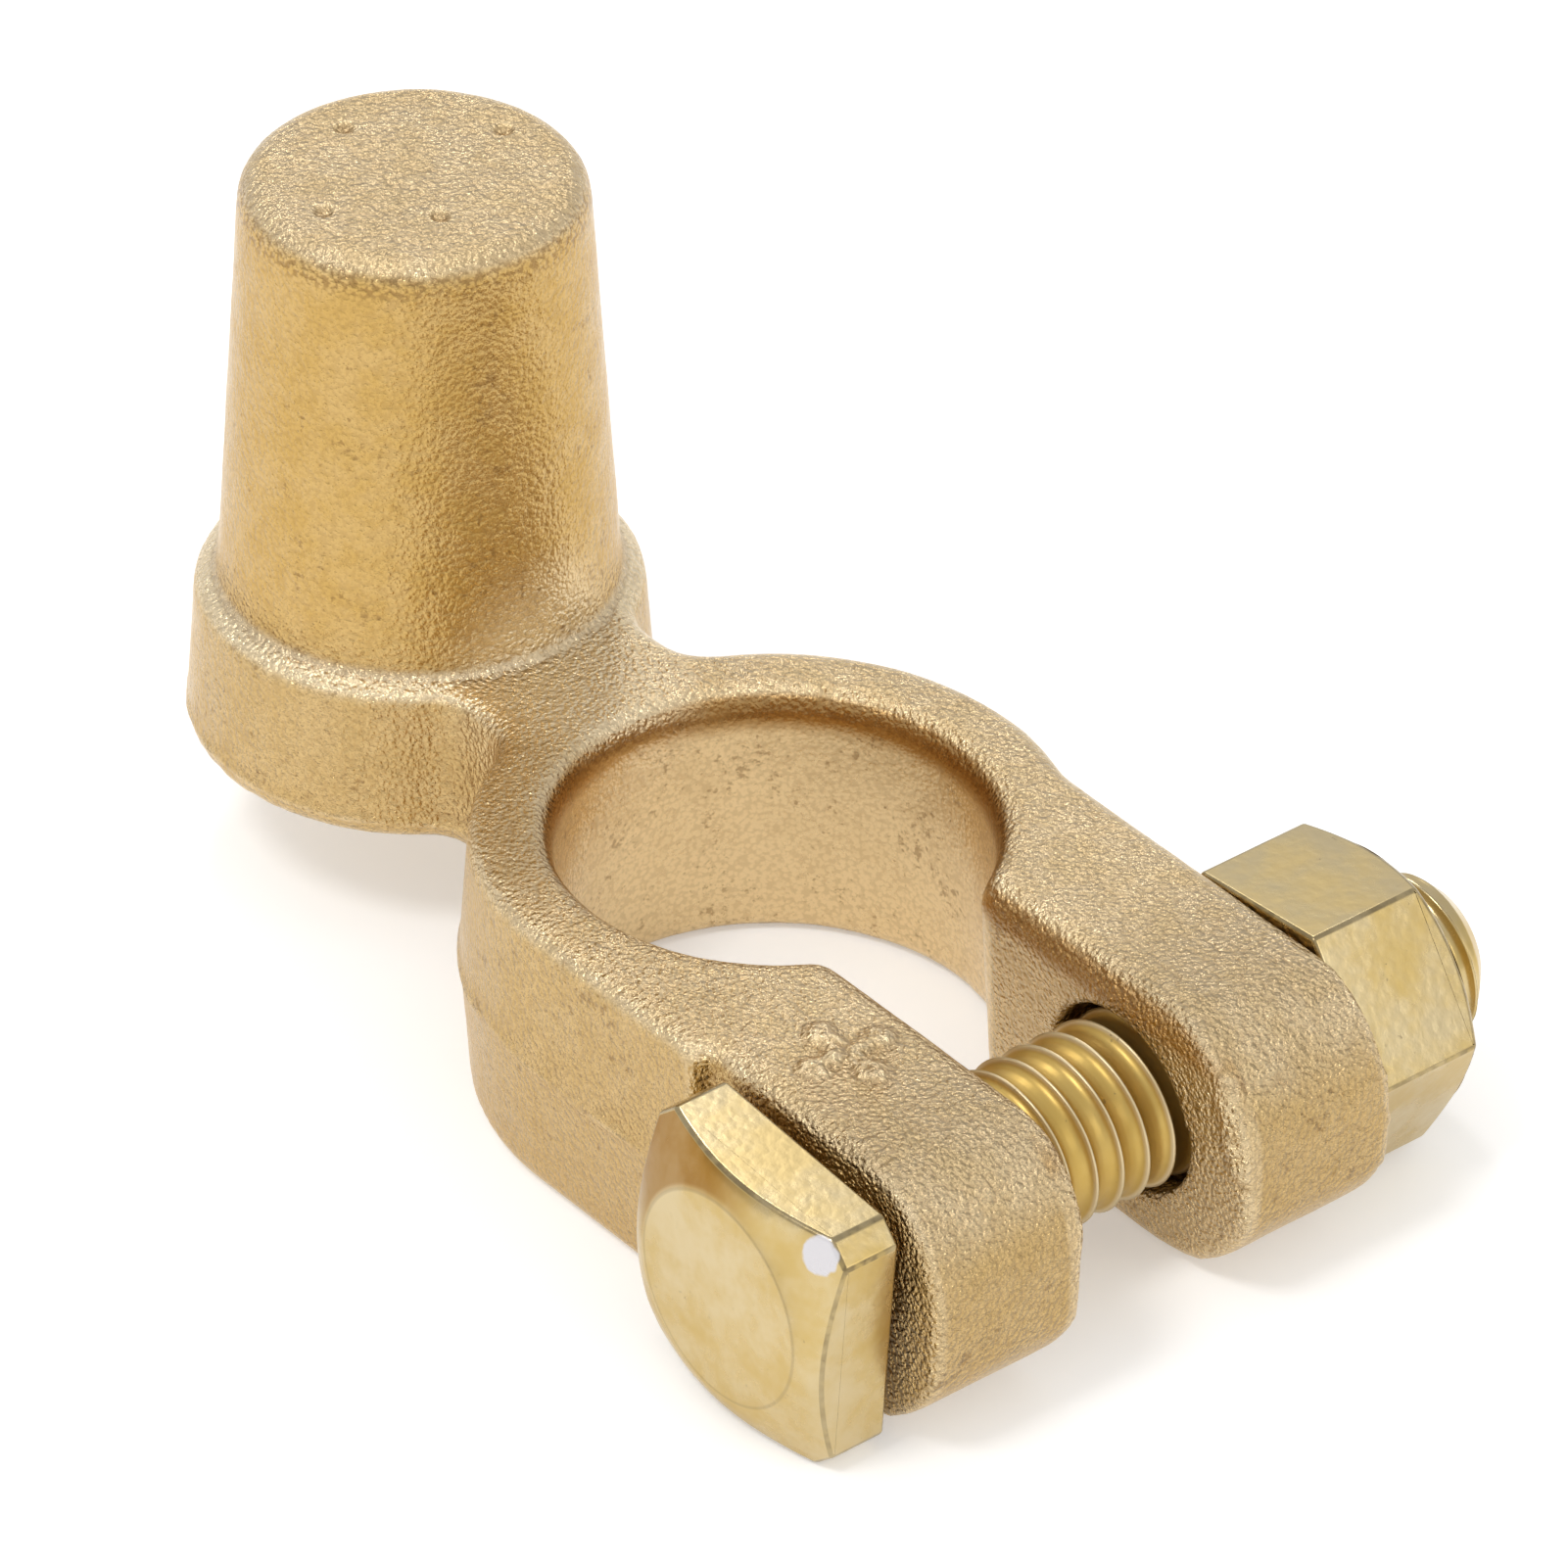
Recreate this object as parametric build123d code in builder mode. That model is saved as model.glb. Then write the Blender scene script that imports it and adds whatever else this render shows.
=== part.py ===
from build123d import *
from math import atan, cos, degrees, pi, radians, sin
import os

# Battery terminal clamp: a forged brass split ring with an auxiliary post, drawn
# together by a square-headed bolt and a hexagon nut.
# The origin is on the axis of the ring at its underside. +X runs to the jaws,
# +Y from the bolt's head to its nut, +Z along the post.

# forging
ring_height = 13.2
draft = 4.0  # degrees, on the forged sides, both ways from the parting plane
ring_radius = 13.5  # at the parting plane, as are the other outline sizes
jaw_end = 25.9  # distance of the jaws' ends from the ring's axis
jaw_end_round = 5.6  # rounding of the jaws' ends, seen from the side
jaw_half_width = 12.6  # from the middle of the slot to a jaw's outer side
jaw_root_round = 3.0  # where the nut's jaw leaves the ring
edge_bevel = 0.5  # along the top face and the underside, and round the bore and the slot
edge_angle = 45.0  # degrees
parting_height = ring_height / 2

# bore and slot
bore_mouth_radius = 10.1  # at the underside, for a 19.5 mm battery post
bore_taper = 1 / 9  # loss of diameter for each unit of height
slot_mouth_width = 9.5  # between the jaws at the underside
throat_depth = 1.3  # from the top face down to the narrowest section
throat_flare = 17.0  # degrees, above the throat
notch_round = 1.2  # where the slot runs into the bore

# neck, boss and auxiliary post
post_distance = 24.7  # from the ring's axis
post_base_radius = 8.9
post_top_radius = 7.56
post_height = 20.3  # above the ring's top face
post_edge_round = 1.1
boss_ledge = 1.45  # how far the boss stands out round the post's root
boss_drop = 0.85  # below the parting plane
neck_width = 10.6
neck_round = 2.0

# bolt, 5/16-18 UNC, with a square head
bolt_radius = 3.97
bolt_length = 35.4  # under the head
bolt_end_chamfer = 0.65
bolt_distance = 17.6  # from the ring's axis
hole_clearance = 0.45
head_size = 12.3  # across the flats
head_height = 4.25
head_corner_bevel = 1.0
head_face_radius = 4.9
head_cone = 25.0  # degrees, from the flat face back to the corners
head_turn = -4.5  # degrees, how far the loose head has turned within its play
head_gap = 0.65  # between the head and its seat, as the bolt lies loose

# hexagon nut
nut_sides = 6
nut_size = 12.6  # across the flats
nut_height = 6.5
nut_turn = 5.0  # degrees
nut_face_radius = 6.1
nut_cone = 30.0  # degrees, from each face back to the corners
nut_bore_clearance = 0.05
nut_bore_chamfer = 0.4

# seats of the head and the nut on the jaws' outer sides
seat_depth = 0.25
seat_clearance = 0.2
shoulder_clearance = 0.15
shoulder_foot_round = 0.2

# bore and slot at the throat
throat_height = ring_height - throat_depth
throat_inset = throat_height * bore_taper / 2
throat_radius = bore_mouth_radius - throat_inset
throat_width = slot_mouth_width - 2 * throat_inset
bore_angle = degrees(atan(bore_taper / 2))

post_angle = degrees(atan((post_base_radius - post_top_radius) / post_height))
boss_radius = post_base_radius + boss_ledge

# The shoulder stops the turned head just short of the ring's wall.
turn = radians(abs(head_turn))
head_reach = head_size / 2 * (cos(turn) + sin(turn))
shoulder_distance = bolt_distance - head_reach - shoulder_clearance
rough_shoulder_distance = shoulder_distance + seat_depth  # before the seat is cut

seat_distance = jaw_half_width - seat_depth
head_distance = seat_distance + head_gap
nut_corner_radius = nut_size / 2 / cos(pi / nut_sides)
nut_seat_radius = nut_corner_radius + seat_clearance

clear_of_body = ring_radius + post_distance + jaw_end  # longer than anything it cuts

# Planes square to the bolt. Each one faces -Y, from the nut's side to the head's.
across_bolt = Plane(origin=(bolt_distance, 0, parting_height), x_dir=(1, 0, 0), z_dir=(0, -1, 0))
nut_face_plane = across_bolt.offset(-seat_distance - nut_height)
nut_seat_plane = across_bolt.offset(-seat_distance)
head_seat_plane = across_bolt.offset(seat_distance)
head_back_plane = across_bolt.offset(head_distance)
head_face_plane = across_bolt.offset(head_distance + head_height)


# Cutter for the bore and the slot: widest at the underside, narrowest at the
# throat and flared again up to the top face.
with BuildPart() as keyhole:
    with BuildSketch(Plane.XY.offset(throat_height)) as throat:
        Circle(throat_radius)
        with Locations((clear_of_body / 2, 0)):
            Rectangle(clear_of_body, throat_width)
        fillet(throat.vertices().group_by(Axis.X)[0], notch_round)
    extrude(throat.sketch, amount=edge_bevel - throat_height, taper=-bore_angle)
    extrude(throat.sketch, amount=throat_depth - edge_bevel, taper=-throat_flare)
    keyhole_ends = keyhole.faces().filter_by(Axis.Z).sort_by(Axis.Z)
    extrude(keyhole_ends[0], amount=edge_bevel, taper=-edge_angle)
    extrude(keyhole_ends[-1], amount=edge_bevel, taper=-edge_angle)

# Side view of the jaws, which rounds their ends.
with BuildPart() as end_trim:
    with BuildSketch(Plane.XZ) as side_view:
        with Locations((jaw_end, 0)):
            Rectangle(clear_of_body, ring_height, align=(Align.MAX, Align.MIN))
        fillet(side_view.vertices().group_by(Axis.X)[-1], jaw_end_round)
    extrude(amount=clear_of_body, both=True)

# Outline of ring, jaws and shoulder at the parting plane.
with BuildSketch(Plane.XY.offset(parting_height)) as ring_outline:
    Circle(ring_radius)
    with Locations((clear_of_body / 2, 0)):
        Rectangle(clear_of_body, 2 * jaw_half_width)
    jaw_root = ring_outline.vertices().filter_by_position(Axis.Y, 0, ring_radius).sort_by(Axis.X)[0]
    fillet(jaw_root, jaw_root_round)
    with Locations((rough_shoulder_distance / 2, -ring_radius / 2)):
        Rectangle(rough_shoulder_distance, ring_radius)
    shoulder_ends = ring_outline.vertices().filter_by_position(Axis.X, bolt_distance / 2, bolt_distance)
    fillet(shoulder_ends.sort_by(Axis.Y)[-1], shoulder_foot_round)

# The same outline with the neck and the boss, which are not as deep as the ring.
with BuildSketch(Plane.XY.offset(parting_height)) as full_outline:
    add(ring_outline.sketch)
    with Locations((-post_distance / 2, 0)):
        Rectangle(post_distance, neck_width)
    with Locations((-post_distance, 0)):
        Circle(boss_radius)
    neck_corners = full_outline.vertices().filter_by_position(
        Axis.X, -post_distance, -ring_radius / 2
    )
    fillet(neck_corners, neck_round)

# Each half of the forging has its draft away from the parting plane.
with BuildPart() as upper_half:
    extrude(full_outline.sketch, amount=ring_height - parting_height - edge_bevel, taper=draft)
    extrude(upper_half.faces().sort_by(Axis.Z)[-1], amount=edge_bevel, taper=edge_angle)
    add(end_trim.part, mode=Mode.INTERSECT)
    add(keyhole.part, mode=Mode.SUBTRACT)

with BuildPart() as lower_half_upturned:
    extrude(ring_outline.sketch, amount=parting_height - edge_bevel, taper=draft)
    extrude(lower_half_upturned.faces().sort_by(Axis.Z)[-1], amount=edge_bevel, taper=edge_angle)
    extrude(full_outline.sketch, amount=boss_drop, taper=draft)

with BuildPart() as lower_half:
    mirror(lower_half_upturned.part, about=Plane.XY.offset(parting_height))
    add(end_trim.part, mode=Mode.INTERSECT)
    add(keyhole.part, mode=Mode.SUBTRACT)

with BuildPart() as clamp_body:
    add(upper_half.part)
    add(lower_half.part)

    # auxiliary post
    with BuildSketch(Plane.XY.offset(ring_height)):
        with Locations((-post_distance, 0)):
            Circle(post_base_radius)
    extrude(amount=post_height, taper=post_angle)
    post_rims = clamp_body.edges().filter_by(GeomType.CIRCLE).group_by(Axis.Z)
    fillet(post_rims[-1], post_edge_round)

    # bolt hole through both jaws
    with BuildSketch(across_bolt):
        Circle(bolt_radius + hole_clearance)
    extrude(amount=clear_of_body, both=True, mode=Mode.SUBTRACT)

    # spot-faced seat of the nut
    with BuildSketch(nut_seat_plane):
        Circle(nut_seat_radius)
    extrude(amount=-clear_of_body, mode=Mode.SUBTRACT)

    # flat seat of the head, from the shoulder out past the jaw's end
    with BuildSketch(head_seat_plane):
        with Locations((shoulder_distance - bolt_distance, 0)):
            Rectangle(clear_of_body, ring_height, align=(Align.MIN, Align.CENTER))
    extrude(amount=clear_of_body, mode=Mode.SUBTRACT)

with BuildPart() as bolt:
    with BuildSketch(head_back_plane) as head_outline:
        Rectangle(head_size, head_size, rotation=head_turn)
        chamfer(head_outline.vertices(), head_corner_bevel)
    extrude(amount=head_height)
    with BuildSketch(head_face_plane):
        Circle(head_face_radius)
    extrude(amount=-head_height, taper=head_cone - 90, mode=Mode.INTERSECT)
    with BuildSketch(head_back_plane):
        Circle(bolt_radius)
    extrude(amount=-bolt_length)
    chamfer(bolt.faces().sort_by(Axis.Y)[-1].edges(), bolt_end_chamfer)

with BuildPart() as nut:
    with BuildSketch(nut_seat_plane):
        RegularPolygon(nut_corner_radius, nut_sides, rotation=nut_turn)
    extrude(amount=-nut_height)
    with BuildSketch(nut_seat_plane):
        Circle(nut_face_radius)
    extrude(amount=-nut_height, taper=nut_cone - 90, mode=Mode.INTERSECT)
    with BuildSketch(nut_face_plane):
        Circle(nut_face_radius)
    extrude(amount=nut_height, taper=nut_cone - 90, mode=Mode.INTERSECT)
    with BuildSketch(nut_seat_plane):
        Circle(bolt_radius + nut_bore_clearance)
    extrude(amount=-nut_height, mode=Mode.SUBTRACT)
    bore_rims = nut.edges().filter_by(
        lambda edge: edge.geom_type == GeomType.CIRCLE and edge.radius < nut_face_radius - nut_bore_chamfer
    )
    chamfer(bore_rims, nut_bore_chamfer)

clamp_body.part.label = "clamp_body"
bolt.part.label = "bolt"
nut.part.label = "nut"

os.makedirs("parts", exist_ok=True)
export_step(clamp_body.part, "parts/clamp_body.step")
export_step(bolt.part, "parts/bolt.step")
export_step(nut.part, "parts/nut.step")
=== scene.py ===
from math import cos, exp, hypot, pi, radians, sin, tan

import bpy
import numpy as np
from mathutils import Matrix, Quaternion, Vector, noise


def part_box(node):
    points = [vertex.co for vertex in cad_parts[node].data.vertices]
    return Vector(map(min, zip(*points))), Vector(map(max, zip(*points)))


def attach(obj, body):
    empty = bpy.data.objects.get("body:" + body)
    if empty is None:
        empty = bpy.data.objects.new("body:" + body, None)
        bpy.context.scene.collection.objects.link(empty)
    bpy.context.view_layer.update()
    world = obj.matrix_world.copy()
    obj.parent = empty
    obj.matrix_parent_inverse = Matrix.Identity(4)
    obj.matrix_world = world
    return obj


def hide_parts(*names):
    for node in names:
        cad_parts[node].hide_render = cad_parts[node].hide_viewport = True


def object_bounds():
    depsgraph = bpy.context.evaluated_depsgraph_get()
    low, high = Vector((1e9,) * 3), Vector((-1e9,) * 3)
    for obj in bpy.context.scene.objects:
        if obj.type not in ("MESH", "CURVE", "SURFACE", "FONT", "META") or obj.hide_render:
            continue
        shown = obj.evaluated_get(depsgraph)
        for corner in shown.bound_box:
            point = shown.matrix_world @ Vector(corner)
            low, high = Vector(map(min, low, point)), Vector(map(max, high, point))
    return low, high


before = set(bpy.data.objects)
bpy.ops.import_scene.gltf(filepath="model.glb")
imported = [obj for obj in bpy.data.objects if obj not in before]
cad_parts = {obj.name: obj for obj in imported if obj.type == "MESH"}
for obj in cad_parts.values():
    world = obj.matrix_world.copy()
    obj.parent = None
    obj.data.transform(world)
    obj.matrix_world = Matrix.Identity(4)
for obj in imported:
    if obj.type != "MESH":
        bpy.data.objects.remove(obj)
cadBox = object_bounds()
mm = 0.001
samePoint = 0.001 * mm  # points closer than this are one


def inMm(*values):
    return tuple(value * mm for value in values)


# The bolt's axis runs along Y. Its place comes from the frame's nut.
nutLow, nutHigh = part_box("nut")
boltLow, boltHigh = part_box("bolt")
nutMiddle = (Vector(nutLow) + Vector(nutHigh)) / 2
boltAxis = Vector((nutMiddle.x, 0, nutMiddle.z))


# small helpers for working in object and edit mode

def pick(obj):
    if bpy.context.mode != "OBJECT":
        bpy.ops.object.mode_set(mode="OBJECT")
    bpy.ops.object.select_all(action="DESELECT")
    obj.select_set(True)
    bpy.context.view_layer.objects.active = obj


def nameActive(name):
    obj = bpy.context.active_object
    obj.name = name
    obj.data.name = name
    return obj


def copyNode(node, name):
    pick(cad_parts[node])
    bpy.ops.object.duplicate()
    obj = nameActive(name)
    obj.data.materials.clear()
    weld(obj, samePoint)
    return obj


def apply(obj, kind, **settings):
    pick(obj)
    modifier = obj.modifiers.new(kind.title(), kind)
    for key, value in settings.items():
        setattr(modifier, key, value)
    bpy.ops.object.modifier_apply(modifier=modifier.name)


def combine(obj, tool, operation):
    apply(obj, "BOOLEAN", object=tool, operation=operation, solver="MANIFOLD")
    bpy.data.objects.remove(tool)


def settle(obj, matrix):
    # takes the piece to its place and leaves its object at the origin
    obj.data.transform(matrix @ obj.matrix_world)
    obj.matrix_world = Matrix.Identity(4)


def deselect(obj, kind):
    pick(obj)
    bpy.ops.object.mode_set(mode="EDIT")
    bpy.ops.mesh.select_mode(type=kind)
    bpy.ops.mesh.select_all(action="DESELECT")
    bpy.ops.object.mode_set(mode="OBJECT")


def facesWhere(obj, test):
    deselect(obj, "FACE")
    for face in obj.data.polygons:
        face.select = test(face.center, face.normal)
    bpy.ops.object.mode_set(mode="EDIT")


def edgesWhere(obj, test):
    deselect(obj, "EDGE")
    for edge in obj.data.edges:
        edge.select = test(*(obj.data.vertices[i] for i in edge.vertices))
    bpy.ops.object.mode_set(mode="EDIT")


def weld(obj, distance):
    pick(obj)
    bpy.ops.object.mode_set(mode="EDIT")
    bpy.ops.mesh.select_all(action="SELECT")
    bpy.ops.mesh.remove_doubles(threshold=distance)
    bpy.ops.mesh.normals_make_consistent(inside=False)
    bpy.ops.object.mode_set(mode="OBJECT")


def smoothStep(x):
    x = min(max(x, 0), 1)
    return x * x * (3 - 2 * x)


# edges, on the turned pieces and on the forging

rounding = {
    "sliver": 0.03 * mm,  # cut edges shorter than this would fold the bevel
    "segments": 4,
    "sharperThan": radians(28),
    "flatWeight": 50,  # lets the flats decide the shading beside a rounded strip
}


def roundEdges(obj, radius):
    # the rounded strips carry the second slot, so that markRounded finds them
    r = rounding
    obj.data.materials.append(None)
    obj.data.materials.append(None)
    weld(obj, r["sliver"])
    apply(obj, "BEVEL", width=radius, segments=r["segments"], limit_method="ANGLE",
          angle_limit=r["sharperThan"], material=1, use_clamp_overlap=False)
    weld(obj, samePoint)


def keepEdge(mesh, values):
    layer = mesh.attributes.new("edge", "FLOAT", "POINT")
    layer.data.foreach_set("value", values)


def markRounded(obj):
    # "edge" is 1 along the middle of each rounded strip and 0.5 elsewhere
    mesh = obj.data
    edge = np.ones(len(mesh.vertices), dtype=np.float32)
    for face in mesh.polygons:
        if face.material_index == 0:
            edge[list(face.vertices)] = 0.5
        face.material_index = 0
        face.use_smooth = True
    keepEdge(mesh, edge)
    apply(obj, "WEIGHTED_NORMAL", mode="FACE_AREA", weight=rounding["flatWeight"])


def markBends(obj, gain, rounds):
    # "edge" is above 0.5 on outer edges and below it in corners
    mesh = obj.data
    count = len(mesh.vertices)
    place, normal = np.empty(count * 3), np.empty(count * 3)
    mesh.vertices.foreach_get("co", place)
    mesh.vertices.foreach_get("normal", normal)
    ends = np.empty(len(mesh.edges) * 2, dtype=np.int64)
    mesh.edges.foreach_get("vertices", ends)
    place, normal = place.reshape(-1, 3), normal.reshape(-1, 3)
    first, second = ends[0::2], ends[1::2]
    step = place[first] - place[second]
    length = np.linalg.norm(step, axis=1) + 1e-9  # never nought
    bend = np.zeros(count)
    links = np.zeros(count)
    for here, sign in ((first, 1), (second, -1)):
        slope = sign * np.einsum("ij,ij->i", normal[here], step) / length ** 2
        np.add.at(bend, here, slope)
        np.add.at(links, here, 1)
    bend /= np.maximum(links, 1)
    for _ in range(rounds):  # each point takes on half of what its neighbours have
        around = np.zeros(count)
        np.add.at(around, first, bend[second])
        np.add.at(around, second, bend[first])
        bend = (bend + around / np.maximum(links, 1)) / 2
    keepEdge(mesh, np.clip(0.5 + bend * gain, 0, 1).astype(np.float32))


# the forged body

# An unevenness is given as its middle value, its swing and the size of its lumps.
forging = {
    "voxel": 0.27 * mm,
    "smoothing": {"factor": 0.5, "iterations": 9},
    "bends": {"gain": 0.6 * mm, "rounds": 2},
    "swell": (0, 0.030 * mm, 3.0 * mm),
    "grain": (0, 0.010 * mm, 0.55 * mm),
    "ringTop": 13.2 * mm,
    "topReach": mm,  # what lies this close to a top face belongs to it
    "facing": {"finer": 0.9, "surely": 0.7, "upright": 0.3},  # parts of the normal
    "plusMark": {"at": inMm(14.65, -8.0), "arm": 1.72 * mm, "half": 0.38 * mm,
                 "knob": 0.60 * mm, "height": 0.32 * mm, "fade": 1.5,
                 "uneven": (0.75, 0.6, 0.7 * mm), "finer": 3.2 * mm},
    "dimples": {"around": inMm(-24.7, 0), "radius": 0.60 * mm, "depth": 0.20 * mm, "fade": 1.1,
                "rim": {"at": 1.15, "width": 0.25, "height": 0.45},  # in radii and depths
                "finer": 1.2 * mm,
                "spots": ((-4.8, -0.1), (-0.4, 5.2), (-0.1, -4.8), (3.3, -1.1))},  # mm from there
    "partingLine": {"z": 6.6 * mm, "half": 0.22 * mm, "height": 0.15 * mm,
                    "clear": 11.5 * mm, "slot": 5.5 * mm,  # none in the bore and the slot
                    "wander": (0, 0.25 * mm, 6 * mm), "uneven": (0.6, 0.8, 2 * mm)},
    "flash": {"from": inMm(24.2, 4.65, 11.0), "to": inMm(25.5, 4.65, 7.4),
              "radius": 0.46 * mm, "height": 0.34 * mm, "fade": 1.6,
              "uneven": (0.8, 1, 0.9 * mm)},
    "endLift": {"from": 19.0 * mm, "height": 0.75 * mm},  # underside of the jaws' ends
    "seat": {"nut": 7.4 * mm, "head": 10.9 * mm,  # reach round the nut, and start of the head's
             "below": 0.012 * mm},
}
postTop = cadBox[1].z
dimples = forging["dimples"]
dimpleSpots = [Vector((dimples["around"][0] + x * mm, dimples["around"][1] + y * mm, 0))
               for x, y in dimples["spots"]]


def uneven(p, middle, swing, size):
    return middle + swing * noise.noise(p / size)


def flatDistance(p, spot):
    return hypot(p.x - spot.x, p.y - spot.y)


def plusHeight(p):
    m = forging["plusMark"]
    x, y = p.x - m["at"][0], p.y - m["at"][1]
    arm = m["arm"]
    bars = min(hypot(max(abs(x) - arm, 0), y), hypot(x, max(abs(y) - arm, 0)))
    knobs = min(hypot(abs(x) - arm, y), hypot(x, abs(y) - arm))
    near = max(smoothStep(m["fade"] - bars / m["half"]), smoothStep(m["fade"] - knobs / m["knob"]))
    return near * uneven(p, *m["uneven"]) * m["height"]


def dimpleHeight(p):
    rim, height = dimples["rim"], 0
    for spot in dimpleSpots:
        away = flatDistance(p, spot) / dimples["radius"]
        raised = rim["height"] * exp(-((away - rim["at"]) / rim["width"]) ** 2)
        height += dimples["depth"] * (raised - smoothStep(dimples["fade"] - away))
    return height


def lineHeight(p):
    line = forging["partingLine"]
    middle = line["z"] + uneven(Vector((p.x, p.y, 0)), *line["wander"])
    near = exp(-((p.z - middle) / line["half"]) ** 2)
    return line["height"] * near * uneven(p, *line["uneven"])


def flashHeight(p):
    f = forging["flash"]
    start = Vector(f["from"])
    along = Vector(f["to"]) - start
    share = min(max((p - start).dot(along) / along.length_squared, 0), 1)
    near = smoothStep(f["fade"] - (p - start - along * share).length / f["radius"])
    return f["height"] * near * uneven(p, *f["uneven"]) if near > 0 else 0


def needsFiner(centre, normal):
    plus = forging["plusMark"]
    if normal.z <= forging["facing"]["finer"]:
        return False
    onRing = centre.z > forging["ringTop"] - forging["topReach"]
    onPost = centre.z > postTop - forging["topReach"]
    byPlus = all(abs(centre[i] - plus["at"][i]) < plus["finer"] for i in range(2))
    byDimple = any(flatDistance(centre, spot) < dimples["finer"] for spot in dimpleSpots)
    return onRing and byPlus or onPost and byDimple


def buildForging():
    f = forging
    body = copyNode("clamp_body", "clampBody")
    mesh = body.data
    apply(body, "REMESH", mode="VOXEL", voxel_size=f["voxel"])
    apply(body, "SMOOTH", **f["smoothing"])
    mesh.polygons.foreach_set("use_smooth", [True] * len(mesh.polygons))
    facesWhere(body, needsFiner)
    bpy.ops.mesh.subdivide(number_cuts=1, smoothness=0)
    bpy.ops.object.mode_set(mode="OBJECT")

    line, lift, seat = f["partingLine"], f["endLift"], f["seat"]
    surely, upright, topReach = f["facing"]["surely"], f["facing"]["upright"], f["topReach"]
    normals = [v.normal.copy() for v in mesh.vertices]
    for v, n in zip(mesh.vertices, normals):
        p = v.co.copy()
        out = uneven(p, *f["swell"]) + uneven(p, *f["grain"]) + flashHeight(p)
        if n.z > surely and abs(p.z - f["ringTop"]) < topReach:
            out += plusHeight(p)
        if n.z > surely and p.z > postTop - topReach:
            out += dimpleHeight(p)
        outside = hypot(p.x, p.y) > line["clear"] and (p.x < 0 or abs(p.y) > line["slot"])
        if outside and abs(n.z) < upright and abs(p.z - line["z"]) < 3 * line["half"]:
            out += lineHeight(p)
        v.co = p + n * out
        towardsEnd = smoothStep((p.x - lift["from"]) / (cadBox[1].x - lift["from"]))
        v.co.z += lift["height"] * towardsEnd * smoothStep(1 - p.z / line["z"])
        # the seats of nut and head stay flat
        if n.y > surely and hypot(p.x - boltAxis.x, p.z - boltAxis.z) < seat["nut"]:
            v.co.y = min(v.co.y, nutLow.y - seat["below"])
        if n.y < -surely and p.x > seat["head"]:
            v.co.y = max(v.co.y, seat["below"] - nutLow.y)
        for axis in range(3):  # what swells stays inside the part's box
            v.co[axis] = min(max(v.co[axis], cadBox[0][axis]), cadBox[1][axis])
    markBends(body, **f["bends"])
    print("forging:", len(mesh.polygons), "faces")
    return body


# the bolt and the nut

thread = {
    "pitch": 25.4 / 18 * mm,
    "crest": 3.97 * mm,
    "depth": 0.44 * mm,
    "points": 20,
    "steps": 64,
    "turnsBelow": 2,  # the rod is screwed longer than it has to be, and then cut
    "turnsOver": 3,
    "weld": 0.002 * mm,
    "cutReach": 0.0001 * mm,
    "sharpness": 4.2,
    "crestFlat": 0.05 * mm,
    "nutPlay": 0.09 * mm,
}
coneSides = 128

bolt = {
    "head": 12.3 * mm,
    "headHeight": 4.25 * mm,
    "spare": 0.5 * mm,  # the block reaches past the cone in front, the cone past it at the back
    "rodInHead": 0.5 * mm,
    "cornerBevel": 1.0 * mm,
    "faceRadius": 4.9 * mm,
    "coneAngle": radians(25),
    "turn": radians(4.5),
    "endRadius": 2.8 * mm,
    "edgeRound": 0.19 * mm,
}

nut = {
    "flats": 12.6 * mm,
    "turn": radians(-5),
    "faceRadius": 6.1 * mm,
    "coneAngle": radians(30),
    "spare": mm,  # the thread's cutter reaches past both faces
    "boreChamfer": 0.4 * mm,
    "mouthTool": mm,  # length of the cones that cut the chamfers
    "edgeRound": 0.19 * mm,
}


def threadedRod(low, high, play=0.0):
    # one tooth, drawn beside the axis and screwed right-handed along Y
    t = thread
    turns = int((high - low) / t["pitch"]) + t["turnsOver"]
    start = (int(low / t["pitch"]) - t["turnsBelow"]) * t["pitch"]
    bpy.ops.mesh.primitive_circle_add(vertices=t["points"] + 1, radius=mm, fill_type="NOTHING")
    rod = nameActive("rodTool")
    # opens the ring of points into a line
    edgesWhere(rod, lambda a, c: {a.index, c.index} == {0, t["points"]})
    bpy.ops.mesh.delete(type="EDGE_FACE")
    bpy.ops.object.mode_set(mode="OBJECT")
    root = t["crest"] - t["depth"]
    for i, v in enumerate(rod.data.vertices):
        share = i / t["points"]
        fromRoot = abs(2 * share - 1)  # 0 at the root, 1 at either crest
        rise = min(root + t["depth"] * fromRoot ** t["sharpness"], t["crest"] - t["crestFlat"])
        v.co = (rise + t["crestFlat"] * fromRoot + play, start + share * t["pitch"], 0)
    apply(rod, "SCREW", axis="Y", angle=2 * pi, screw_offset=t["pitch"], iterations=turns,
          steps=t["steps"], render_steps=t["steps"], use_smooth_shade=True)
    bpy.ops.object.mode_set(mode="EDIT")
    bpy.ops.mesh.select_all(action="SELECT")
    bpy.ops.mesh.remove_doubles(threshold=t["weld"])
    for y, outer in ((low, False), (high, True)):
        bpy.ops.mesh.select_all(action="SELECT")
        bpy.ops.mesh.bisect(plane_co=(0, y, 0), plane_no=(0, 1, 0), use_fill=True,
                            clear_outer=outer, clear_inner=not outer, threshold=t["cutReach"])
    bpy.ops.mesh.select_all(action="SELECT")
    bpy.ops.mesh.normals_make_consistent(inside=False)
    bpy.ops.object.mode_set(mode="OBJECT")
    return rod


def cone(wide, narrow, length, middle, narrowEnd):
    # a cone on the Y axis, narrow towards +Y or -Y
    bpy.ops.mesh.primitive_cone_add(vertices=coneSides, radius1=wide, radius2=narrow, depth=length,
                                    rotation=(radians(-90) * narrowEnd, 0, 0),
                                    location=(0, middle, 0))
    obj = nameActive("coneTool")
    settle(obj, Matrix.Identity(4))
    return obj


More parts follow.
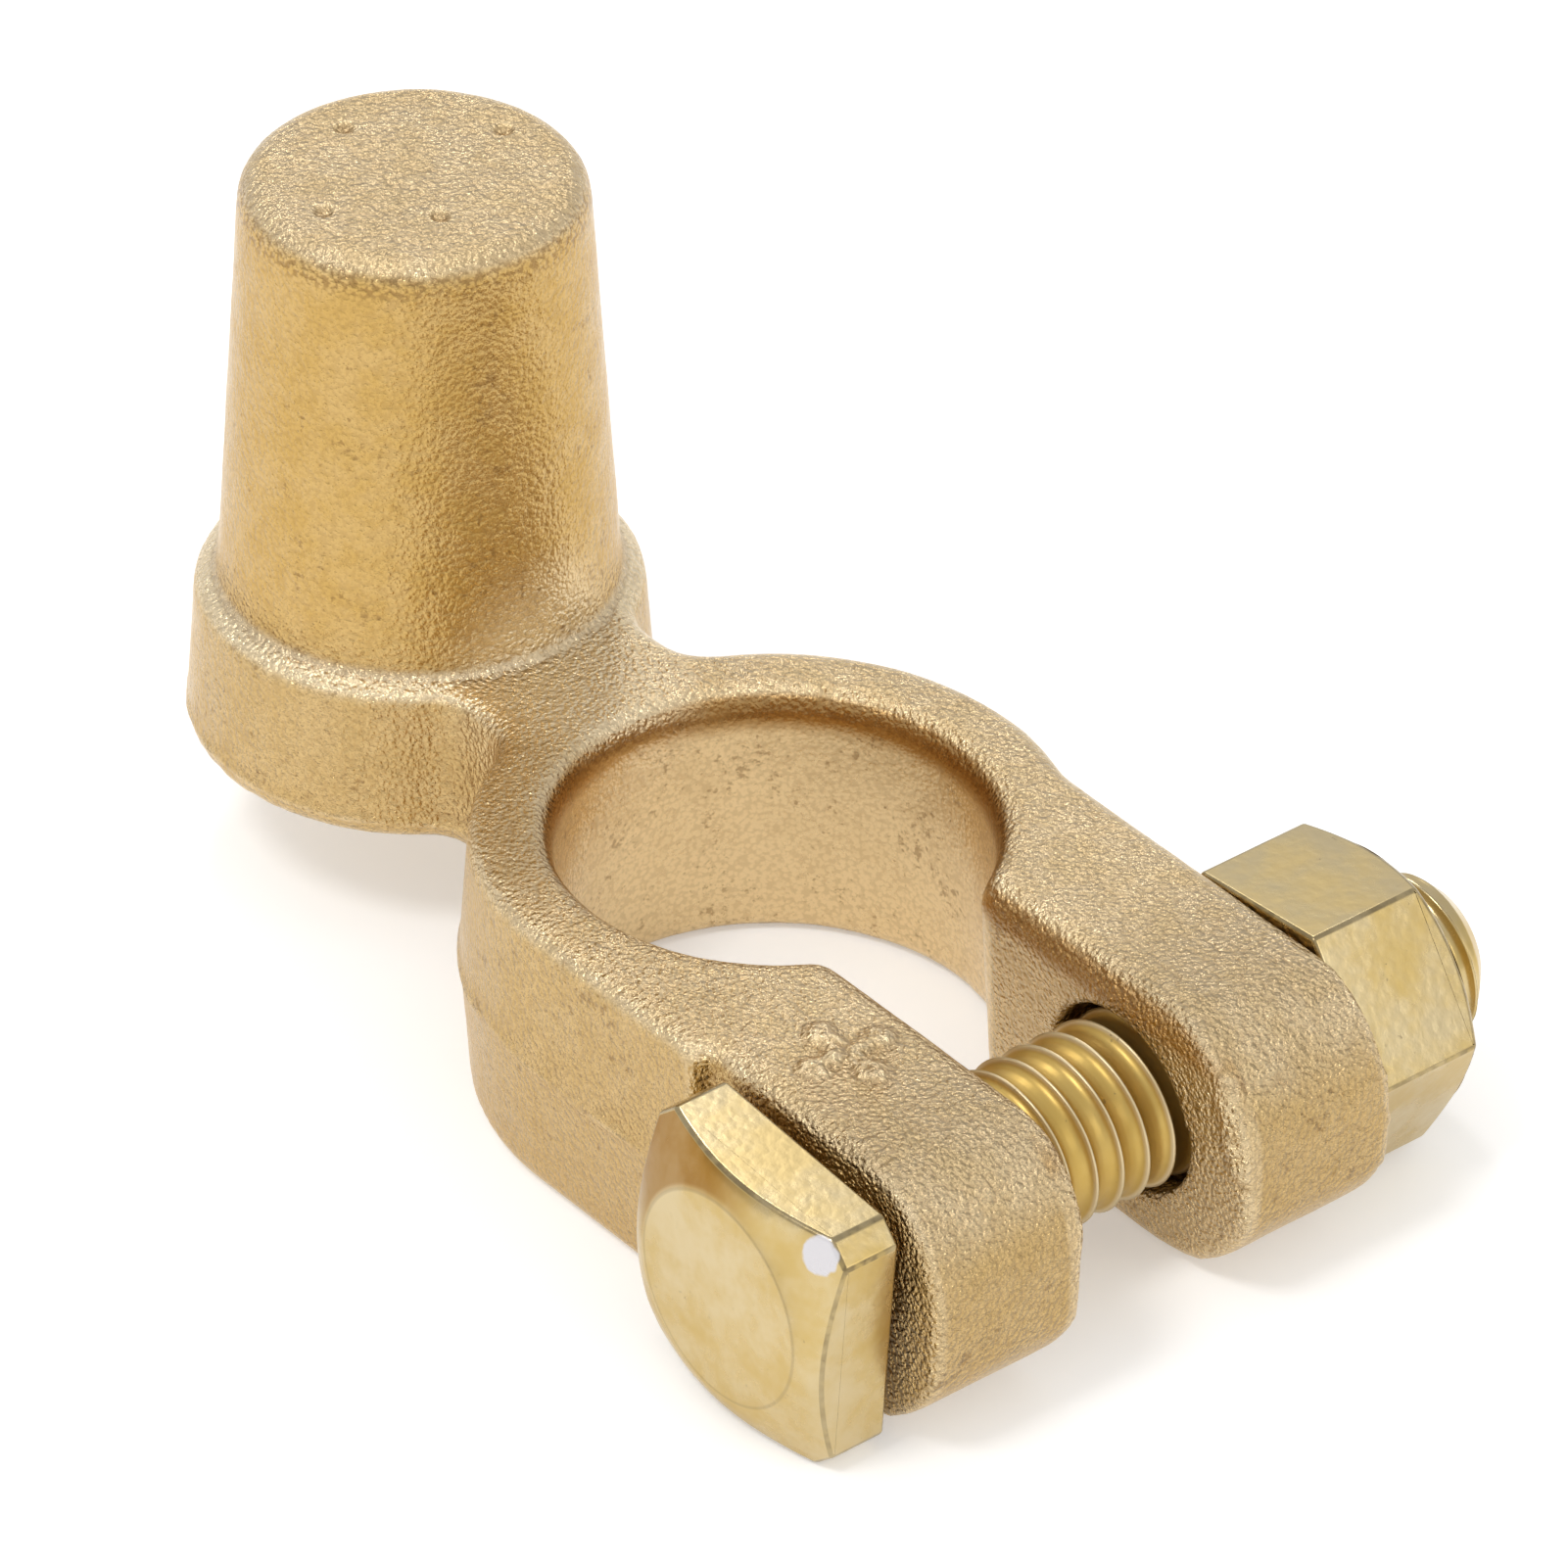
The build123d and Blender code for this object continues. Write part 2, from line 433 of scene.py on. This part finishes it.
def buildBolt():
    b = bolt
    front, spare = boltLow.y, b["spare"]
    back = front + b["headHeight"]
    deep = b["headHeight"] + spare
    bpy.ops.mesh.primitive_cube_add(size=1, location=(0, (front + back - spare) / 2, 0),
                                    scale=(b["head"], deep, b["head"]))
    head = nameActive("squareBolt")
    settle(head, Matrix.Identity(4))
    edgesWhere(head, lambda a, c: abs(a.co.y - c.co.y) > mm)
    bpy.ops.mesh.bevel(offset=b["cornerBevel"], segments=1, affect="EDGES")
    bpy.ops.object.mode_set(mode="OBJECT")
    wide = b["faceRadius"] + deep / tan(b["coneAngle"])
    combine(head, cone(wide, b["faceRadius"], deep, (front + back + spare) / 2, -1), "INTERSECT")
    roundEdges(head, b["edgeRound"])
    settle(head, Matrix.Rotation(b["turn"], 4, "Y"))

    end = boltHigh.y
    rod = threadedRod(back - b["rodInHead"], end)
    for v in rod.data.vertices:  # the end is turned down at 45 degrees
        reach = hypot(v.co.x, v.co.z)
        limit = b["endRadius"] + end - v.co.y
        if reach > limit:
            v.co.x *= limit / reach
            v.co.z *= limit / reach
    combine(head, rod, "UNION")
    settle(head, Matrix.Translation(boltAxis))
    markRounded(head)
    print("bolt:", len(head.data.polygons), "faces")
    return head


def buildNut():
    n = nut
    low, high = nutLow.y, nutHigh.y
    height, middle = high - low, (low + high) / 2
    halfSide = radians(30)  # half of what one side spans, seen from the axis
    bpy.ops.mesh.primitive_cylinder_add(vertices=6, radius=n["flats"] / 2 / cos(halfSide),
                                        depth=height, rotation=(radians(90), 0, 0),
                                        location=(0, middle, 0))
    body = nameActive("hexNut")
    # only the hexagon is turned, as the thread has to stay in step with the bolt's
    settle(body, Matrix.Rotation(halfSide + n["turn"], 4, "Y"))
    # only the outer end has a cone, as the seat's side is flat
    wide = n["faceRadius"] + height / tan(n["coneAngle"])
    combine(body, cone(wide, n["faceRadius"], height, middle, 1), "INTERSECT")
    roundEdges(body, n["edgeRound"])
    cutter = threadedRod(low - n["spare"], high + n["spare"], thread["nutPlay"])
    combine(body, cutter, "DIFFERENCE")
    mouth, half = thread["crest"] + n["boreChamfer"], n["mouthTool"] / 2
    for y, narrowEnd in ((low, 1), (high, -1)):  # chamfered at 45 degrees
        combine(body, cone(mouth + half, mouth - half, n["mouthTool"], y, narrowEnd), "DIFFERENCE")
    settle(body, Matrix.Translation(boltAxis))
    markRounded(body)
    print("nut:", len(body.data.polygons), "faces")
    return body


# materials

def feed(tree, socket, value):
    if isinstance(value, bpy.types.NodeSocket):
        tree.links.new(value, socket)
    else:
        socket.default_value = value


def addNode(tree, kind, settings=None, **inputs):
    # an input goes by its label, or by its number behind an underscore
    node = tree.nodes.new("ShaderNode" + kind)
    for key, value in (settings or {}).items():
        setattr(node, key, value)
    for label, value in inputs.items():
        feed(tree, node.inputs[int(label[1:]) if label[0] == "_" else label], value)
    return node


def calc(tree, operation, a, b=0.0):
    return addNode(tree, "Math", {"operation": operation}, _0=a, _1=b).outputs[0]


def vectorCalc(tree, operation, a, b=(0, 0, 0)):
    return addNode(tree, "VectorMath", {"operation": operation}, _0=a, _1=b).outputs


def times(tree, first, *others):
    for other in others:
        first = calc(tree, "MULTIPLY", first, other)
    return first


def sumOf(tree, value, level, share):
    # level + value * share
    return calc(tree, "ADD", level, calc(tree, "MULTIPLY", value, share))


def spread(tree, value, low, high, toLow=0.0, toHigh=1.0):
    # a soft step from low to high, where high may be the smaller of the two
    node = addNode(tree, "MapRange", {"interpolation_type": "SMOOTHSTEP"}, Value=value)
    for label, number in (("From Min", low), ("From Max", high), ("To Min", toLow),
                          ("To Max", toHigh)):
        node.inputs[label].default_value = number
    return node.outputs["Result"]


def between(tree, value, limits):
    return times(tree, spread(tree, value, *limits["from"]), spread(tree, value, *limits["to"]))


def separate(tree, vector):
    return list(addNode(tree, "SeparateXYZ", _0=vector).outputs)


def distanceFrom(tree, place, spot):
    return vectorCalc(tree, "DISTANCE", place, spot)["Value"]


def distanceFromAxis(tree, place, axis, across=(1, 1, 0)):
    flat = vectorCalc(tree, "MULTIPLY", vectorCalc(tree, "SUBTRACT", place, axis)[0], across)
    return vectorCalc(tree, "LENGTH", flat[0])["Value"]


def layered(tree, colour, layers):
    # lays each colour over those before it, by its mask times its share
    for mask, share, over in layers:
        node = addNode(tree, "Mix", {"data_type": "RGBA"}, _0=calc(tree, "MULTIPLY", mask, share))
        for index, value in ((6, colour), (7, over)):  # the node's two colour sockets
            plain = not isinstance(value, bpy.types.NodeSocket)
            feed(tree, node.inputs[index], (*value, 1) if plain else value)
        colour = node.outputs[2]
    return colour


def newGroup(name, values, results):
    # a group takes the place on the surface and some numbers, and gives numbers
    group = bpy.data.node_groups.new(name, "ShaderNodeTree")
    group.interface.new_socket(name="Place", in_out="INPUT", socket_type="NodeSocketVector")
    for label, value in values.items():
        socket = group.interface.new_socket(name=label, in_out="INPUT",
                                            socket_type="NodeSocketFloat")
        socket.default_value = value
    for label in results:
        group.interface.new_socket(name=label, in_out="OUTPUT", socket_type="NodeSocketFloat")
    given, out = group.nodes.new("NodeGroupInput"), group.nodes.new("NodeGroupOutput")
    return group, given.outputs, out.inputs


pebbledSkin = {
    "size": 0.4,  # mm, as in every group
    "wander": {"Detail": 1.0},
    "wanderReach": 0.7 * mm,  # for a grain of 1 mm
    "smoothness": 0.35,
    "fine": {"Detail": 2.0, "Roughness": 0.6},
    "finer": 1.9,
    "fineShare": 0.7,
    "mottle": {"Detail": 4.0, "Roughness": 0.65},
    "mottleSize": 9.0,  # grains
    "hollow": (0.98, 0.62),
}


def grainGroup():
    # pebbled skin of a sand mould: rounded grains, a slow mottling and the hollows between grains
    s = pebbledSkin
    group, given, out = newGroup("pebbledSkin", {"Size": s["size"]}, ("Height", "Mottle", "Hollow"))
    place = given["Place"]
    scale = calc(group, "DIVIDE", 1 / mm, given["Size"])
    wander = addNode(group, "TexNoise", Vector=place, Scale=scale, **s["wander"])
    shift = addNode(group, "VectorMath", {"operation": "SCALE"}, _0=wander.outputs["Color"],
                    Scale=times(group, given["Size"], s["wanderReach"]))
    moved = vectorCalc(group, "ADD", place, shift.outputs[0])[0]
    pebble = addNode(group, "TexVoronoi", {"feature": "SMOOTH_F1"}, Vector=moved, Scale=scale,
                     Smoothness=s["smoothness"])
    fine = addNode(group, "TexNoise", Vector=place, Scale=times(group, scale, s["finer"]),
                   **s["fine"])
    slow = addNode(group, "TexNoise", Vector=place, **s["mottle"],
                   Scale=calc(group, "DIVIDE", scale, s["mottleSize"]))
    dome = calc(group, "SUBTRACT", 1.0, pebble.outputs["Distance"])
    height = sumOf(group, fine.outputs["Fac"], dome, s["fineShare"])
    feed(group, out["Height"], height)
    feed(group, out["Mottle"], slow.outputs["Fac"])
    feed(group, out["Hollow"], spread(group, height, *s["hollow"]))
    return group


darkSpecks = {
    "size": 0.6,
    "amount": 0.3,
    "dots": {"Detail": 3.0, "Roughness": 0.7},
    "patches": {"Detail": 2.0},
    "patchSize": 7.0,  # dots
    "patchShare": 0.55,
    "noneAt": 1.12,  # the level that a dot has to pass, and how much an amount of 1 lowers it
    "lowered": 0.3,
    "sharpness": 12.0,
}


def specksGroup():
    # scattered small pits and dark specks
    s = darkSpecks
    group, given, out = newGroup("darkSpecks", {"Size": s["size"], "Amount": s["amount"]},
                                 ("Mask",))
    place = given["Place"]
    scale = calc(group, "DIVIDE", 1 / mm, given["Size"])
    dots = addNode(group, "TexNoise", Vector=place, Scale=scale, **s["dots"])
    patches = addNode(group, "TexNoise", Vector=place, **s["patches"],
                      Scale=calc(group, "DIVIDE", scale, s["patchSize"]))
    both = sumOf(group, patches.outputs["Fac"], dots.outputs["Fac"], s["patchShare"])
    level = calc(group, "SUBTRACT", s["noneAt"], times(group, given["Amount"], s["lowered"]))
    mask = times(group, calc(group, "SUBTRACT", both, level), s["sharpness"])
    feed(group, out["Mask"], addNode(group, "Clamp", Value=mask).outputs[0])
    return group


def placed(tree, group, place, values):
    node = tree.nodes.new("ShaderNodeGroup")
    node.node_tree = group
    for label, value in {"Place": place, **values}.items():
        feed(tree, node.inputs[label], value)
    return node.outputs


def newMaterial(name):
    material = bpy.data.materials.new(name)
    material.use_nodes = True
    tree = material.node_tree
    given = addNode(tree, "TexCoord").outputs
    edge = addNode(tree, "Attribute", {"attribute_name": "edge"}).outputs["Fac"]
    return material, tree, given["Object"], given["Normal"], edge


def dress(tree, colour, metallic, roughness, height, depth):
    shader = tree.nodes["Principled BSDF"].inputs
    bump = addNode(tree, "Bump", Height=height, Distance=depth, Strength=1.0)
    feed(tree, shader["Base Color"], colour)
    feed(tree, shader["Metallic"], metallic)
    feed(tree, shader["Roughness"], roughness)
    feed(tree, shader["Normal"], bump.outputs[0])


# A pair of numbers is where a mask is 0 and where it is 1.
castBrass = {
    "tan": (0.68, 0.525, 0.31),
    "gold": (0.56, 0.355, 0.105),
    "brown": (0.23, 0.125, 0.045),
    # pale: painted highlight on the neck and the ledge, and on the outer edges
    "pale": (0.86, 0.71, 0.47),
    # inside: painted light, paler, for the bore's wall and the slot's sides
    "inside": (0.80, 0.62, 0.36),
    # amber: painted reflection in the band above the throat
    "amber": (0.42, 0.22, 0.055),
    "roughness": (0.20, 0.31),
    "bump": 0.20 * mm,
    "grain": {"Size": 0.24},
    "pits": {"Size": 0.42, "Amount": 0.72},
    "mottle": (0.38, 0.64),
    "gloss": (0.3, 0.7),
    "side": (0.75, 0.25),  # by the upright part of the normal
    "post": {"axis": (-24.7 * mm, 0, 0), "beside": inMm(9.6, 9.1),
             "above": (13.4 * mm, 15.9 * mm, 0.35, 1.0), "mottle": (0.62, 0.38)},
    "bore": inMm(10.6, 10.1),
    "slot": {"across": inMm(5.4, 5.1), "along": inMm(4.0, 5.0)},
    "flare": {"from": inMm(10.9, 11.9), "to": inMm(13.05, 12.75),  # the band above the throat
              "inner": inMm(11.6, 11.2), "upright": (0.92, 0.6)},
    "neck": {"at": inMm(-13.6, 0, 13.2), "reach": inMm(6.5, 2.5)},
    "ledge": {"inner": inMm(8.7, 9.1), "outer": inMm(12.5, 11.0),  # round the post's root
              "from": inMm(12.6, 13.0), "to": inMm(13.9, 13.5)},
    "underTop": {"from": (postTop - 1.9 * mm, postTop - 1.1 * mm),
                 "to": (postTop - 0.15 * mm, postTop - 0.7 * mm)},
    "corner": (0.47, 0.36),  # by "edge"
    "rim": (0.56, 0.75),
    "pitted": (0.14, 0.40),  # share of the pits on top, and what a side adds
    "shares": {"side": 0.58, "mottle": 0.22, "post": 0.90, "bore": 0.75, "slotSides": 0.6,
               "flare": 0.8, "lit": 0.85, "hollow": 0.20, "corner": 0.25, "rim": 0.30,
               "underTop": 0.55},
    "relief": {"bore": 0.18, "post": 0.60, "rest": 0.46},  # shares of the jaws' full relief
    "roughEnds": inMm(13.0, 21.0),
}


def makeCastBrass(grain, specks):
    b = castBrass
    post, slot, flare, neck, ledge = b["post"], b["slot"], b["flare"], b["neck"], b["ledge"]
    share, relief = b["shares"], b["relief"]
    material, tree, place, normal, edge = newMaterial("castBrass")
    skin = placed(tree, grain, place, b["grain"])
    pits = placed(tree, specks, place, b["pits"])
    mottle = spread(tree, skin["Mottle"], *b["mottle"])
    along, across, height = separate(tree, place)
    across = calc(tree, "ABSOLUTE", across)
    upright = calc(tree, "ABSOLUTE", separate(tree, normal)[2])
    fromPost = distanceFromAxis(tree, place, post["axis"])
    fromBore = distanceFromAxis(tree, place, (0, 0, 0))

    side = spread(tree, upright, *b["side"])
    onPost = times(tree, spread(tree, fromPost, *post["beside"]), side,
                   spread(tree, height, *post["above"]))
    inBore = times(tree, side, spread(tree, fromBore, *b["bore"]))
    inSlot = times(tree, spread(tree, across, *slot["across"]),
                   spread(tree, along, *slot["along"]))
    slotSides = times(tree, inSlot, side, calc(tree, "SUBTRACT", 1.0, inBore))
    inside = calc(tree, "MAXIMUM", spread(tree, fromBore, *flare["inner"]), inSlot)
    # painted reflection: the band above the throat, in the bore and the slot, is painted dark
    # amber, as the dark slot mirrored there
    flareReflection = times(tree, between(tree, height, flare), spread(tree, upright, *flare["upright"]),
                   inside)
    # painted highlight: the neck and the ledge round the post's root are painted pale, as where
    # light falls on them
    onNeck = spread(tree, distanceFrom(tree, place, neck["at"]), *neck["reach"])
    onLedge = times(tree, spread(tree, fromPost, *ledge["inner"]), between(tree, height, ledge),
                    spread(tree, fromPost, *ledge["outer"]))
    lit = calc(tree, "MAXIMUM", onNeck, onLedge)
    underTop = times(tree, between(tree, height, b["underTop"]), skin["Hollow"])
    colour = layered(tree, b["tan"], (
        # painted shade: the upright faces are painted deeper gold than the tops, by the way they
        # face the light
        (side, share["side"], b["gold"]),
        (mottle, share["mottle"], b["gold"]),
        (times(tree, onPost, sumOf(tree, mottle, *post["mottle"])), share["post"], b["gold"]),
        # painted light: the bore's wall and the slot's sides are painted paler, as if more light
        # fell there
        (inBore, share["bore"], b["inside"]),
        (slotSides, share["slotSides"], b["inside"]),
        (flareReflection, share["flare"], b["amber"]),
        (lit, share["lit"], b["pale"]),
        # painted shade: the hollows between grains are darkened brown
        (skin["Hollow"], share["hollow"], b["brown"]),
        # painted shade: the corners are darkened brown
        (spread(tree, edge, *b["corner"]), share["corner"], b["brown"]),
        # paler outer edges, partly wear and partly a painted highlight
        (spread(tree, edge, *b["rim"]), share["rim"], b["pale"]),
        (underTop, share["underTop"], b["brown"]),
        (pits["Mask"], sumOf(tree, side, *b["pitted"]), b["brown"]),
    ))

    # the jaws' ends are the roughest, the bore and the post the smoothest
    ends = spread(tree, along, *b["roughEnds"], relief["rest"], 1.0)
    smooth = sumOf(tree, onPost, times(tree, inBore, 1 - relief["bore"]), 1 - relief["post"])
    bumps = times(tree, skin["Height"], ends, calc(tree, "SUBTRACT", 1.0, smooth))
    dull = spread(tree, skin["Mottle"], *b["gloss"], *b["roughness"])
    dress(tree, colour, 1.0, dull, bumps, b["bump"])
    return material


yellowPlating = {
    "pale": (0.62, 0.50, 0.285),
    "amber": (0.56, 0.405, 0.15),
    "upwardTone": (0.40, 0.335, 0.21),
    "dark": (0.13, 0.10, 0.065),
    "bare": (0.70, 0.675, 0.69),
    "paintedReflection": (0.30, 0.15, 0.025),
    "shank": (0.57, 0.385, 0.10),
    # crest: painted highlight on the thread's crests
    "crest": (0.86, 0.78, 0.60),
    "roughness": (0.20, 0.33),
    "shankDuller": 0.17,
    "bareMetallic": 0.25,
    "bump": 0.006 * mm,
    "grain": {"Size": 0.55},
    "pits": {"Size": 0.30, "Amount": 0.42},
    "mottle": (0.36, 0.66),
    "gloss": (0.3, 0.7),
    "frontal": (-0.80, -0.88),  # by the normal
    "upward": (0.6, 0.9),
    "reflectionPatch": {"at": inMm(13.6, -16.4, 12.2), "reach": inMm(7.0, 2.5), "mottle": (0.80, 0.2),
                "offDisc": (bolt["faceRadius"] - 0.1 * mm, bolt["faceRadius"] + 0.3 * mm)},
    "faceRim": inMm(0.12, 0.03),
    "onShank": {"from": inMm(-13.0, -12.8), "to": inMm(12.0, 11.8)},
    "onCrest": (thread["crest"] - 0.26 * mm, thread["crest"] - 0.1 * mm),
    "edge": (0.70, 1.0),
    "broken": (1.15, 0.70),  # by the height of the grain
    "edgeShade": (0.30, 0.45),  # share of the painted dark edge lines, and what broken mottling adds
    "worn": {"at": inMm(23.0, -16.4, 11.6), "ragged": 0.14 * mm, "reach": inMm(1.10, 0.96)},
    "shares": {"upward": 0.38, "shank": 0.85, "crest": 0.5, "faceRim": 0.22, "pits": 0.5},
}


def makeYellowPlating(grain, specks):
    b = yellowPlating
    reflectionPatch, worn, share = b["reflectionPatch"], b["worn"], b["shares"]
    material, tree, place, normal, edge = newMaterial("yellowPlating")
    skin = placed(tree, grain, place, b["grain"])
    pits = placed(tree, specks, place, b["pits"])
    mottle = spread(tree, skin["Mottle"], *b["mottle"])
    along = separate(tree, place)[1]
    facing = separate(tree, normal)
    reach = distanceFromAxis(tree, place, boltAxis, (1, 0, 1))

    # the front of the head, with its painted dark reflection and the painted dark line at the rim
    # of its disc
    frontal = spread(tree, facing[1], *b["frontal"])
    paintedReflection = times(tree, frontal, spread(tree, reach, *reflectionPatch["offDisc"]),
                  spread(tree, distanceFrom(tree, place, reflectionPatch["at"]), *reflectionPatch["reach"]))
    # painted shade: a dark line along the rim of the head's disc, where the face bends
    fromRim = calc(tree, "ABSOLUTE", calc(tree, "SUBTRACT", reach, bolt["faceRadius"]))
    faceRim = times(tree, frontal, spread(tree, fromRim, *b["faceRim"]))
    onShank = between(tree, along, b["onShank"])
    # painted highlight: the thread's crests are painted pale
    crest = times(tree, onShank, spread(tree, reach, *b["onCrest"]))
    broken = times(tree, spread(tree, skin["Height"], *b["broken"]), mottle)
    away = distanceFrom(tree, place, worn["at"])
    ragged = sumOf(tree, skin["Height"], away, worn["ragged"])
    bare = spread(tree, ragged, *worn["reach"])
    colour = layered(tree, b["pale"], (
        (mottle, 1.0, b["amber"]),
        (paintedReflection, sumOf(tree, mottle, *reflectionPatch["mottle"]), b["paintedReflection"]),
        # the upward faces are darker and greyer
        (spread(tree, facing[2], *b["upward"]), share["upward"], b["upwardTone"]),
        (onShank, share["shank"], b["shank"]),
        (crest, share["crest"], b["crest"]),
        (faceRim, share["faceRim"], b["dark"]),
        # painted shade: a dark line along the rounded edges, broken by the grain and the mottling
        (spread(tree, edge, *b["edge"]), sumOf(tree, broken, *b["edgeShade"]), b["dark"]),
        (pits["Mask"], share["pits"], b["dark"]),
        (bare, 1.0, b["bare"]),
    ))
    dull = spread(tree, skin["Mottle"], *b["gloss"], *b["roughness"])
    dress(tree, colour, spread(tree, bare, 0.0, 1.0, 1.0, b["bareMetallic"]),
          sumOf(tree, onShank, dull, b["shankDuller"]), skin["Height"], b["bump"])
    return material


# floor, light and camera

studio = {
    "floorHalf": 1.5,
    "floorBelow": 0.02 * mm,
    "floorColour": (0.90, 0.90, 0.90),
    "floorRoughness": 0.9,
    "lift": 0.30,  # brightens the floor where it is seen or mirrored, and lights nothing
    "white": (1, 1, 1, 1),
    "worldLevel": 0.80,
    "aim": (-0.005, 0, 0.01),
    "lamps": [
        # name, place, size, watts
        ("frontKey", (0.02, -0.36, 0.65), 0.20, 1.35),
        ("backGlint", (-0.42, 0.26, 0.55), 0.12, 0.7),
        ("rightFill", (0.60, 0.22, 0.30), 0.30, 0.35),
    ],
}

view = {
    "azimuth": radians(-39.25),  # from +X
    "elevation": radians(35.63),
    "roll": radians(0.35),
    "distance": 548.54 * mm,
    "target": inMm(-16.13, 13.68, 0),
    "focalPixels": 12563.5,
    "framePixels": 1601,
    "sensor": 36,
    "clip": (0.01, 10),
}


def lookAt(place, target):
    return (Vector(target) - Vector(place)).to_track_quat("-Z", "Y")


def hang(name, data, place, turn):
    holder = bpy.data.objects.new(name, data)
    holder.location = place
    holder.rotation_euler = turn.to_euler()
    bpy.context.collection.objects.link(holder)
    return holder


def buildFloor():
    s = studio
    bpy.ops.mesh.primitive_plane_add(size=2 * s["floorHalf"],
                                     location=(0, 0, cadBox[0].z - s["floorBelow"]))
    floor = nameActive("floor")
    settle(floor, Matrix.Identity(4))
    material = bpy.data.materials.new("paleFloor")
    material.use_nodes = True
    tree = material.node_tree
    shader = tree.nodes["Principled BSDF"].inputs
    shader["Base Color"].default_value = (*s["floorColour"], 1)
    shader["Roughness"].default_value = s["floorRoughness"]
    shader["Specular IOR Level"].default_value = 0.0
    shader["Emission Color"].default_value = s["white"]
    ray = tree.nodes.new("ShaderNodeLightPath").outputs
    mirrored = calc(tree, "MAXIMUM", ray["Is Glossy Ray"], ray["Is Transmission Ray"])
    seen = calc(tree, "MAXIMUM", ray["Is Camera Ray"], mirrored)
    tree.links.new(calc(tree, "MULTIPLY", seen, s["lift"]), shader["Emission Strength"])
    floor.data.materials.append(material)


def buildStudio():
    s, v, scene = studio, view, bpy.context.scene
    buildFloor()
    scene.world = scene.world or bpy.data.worlds.new("studioWorld")
    scene.world.use_nodes = True
    background = scene.world.node_tree.nodes["Background"].inputs
    background["Color"].default_value = s["white"]
    background["Strength"].default_value = s["worldLevel"]

    for name, place, size, watts in s["lamps"]:
        lamp = bpy.data.lights.new(name, "AREA")
        lamp.shape, lamp.size, lamp.energy = "DISK", size, watts
        hang(name, lamp, place, lookAt(place, s["aim"]))

    level = cos(v["elevation"])
    back = Vector((level * cos(v["azimuth"]), level * sin(v["azimuth"]), sin(v["elevation"])))
    place = Vector(v["target"]) + back * v["distance"]
    turn = lookAt(place, v["target"]) @ Quaternion((0, 0, 1), v["roll"])
    lens = bpy.data.cameras.new("camera")
    lens.sensor_width = v["sensor"]
    lens.lens = v["focalPixels"] / v["framePixels"] * v["sensor"]
    lens.clip_start, lens.clip_end = v["clip"]
    scene.camera = hang("camera", lens, place, turn)
    scene.view_settings.view_transform = "Standard"
    print("studio ready")


# everything put together

grain, specks = grainGroup(), specksGroup()
brass, plating = makeCastBrass(grain, specks), makeYellowPlating(grain, specks)
print("materials ready")
for piece, body, node, material, slot in (
    (buildForging(), "clamp", "clamp_body", brass, "brass"),
    (buildBolt(), "bolt", "bolt", plating, "plating"),
    (buildNut(), "nut", "nut", plating, "plating"),
):
    piece.data.materials.clear()
    piece.data.materials.append(material)
    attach(piece, body)
    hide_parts(node)
buildStudio()
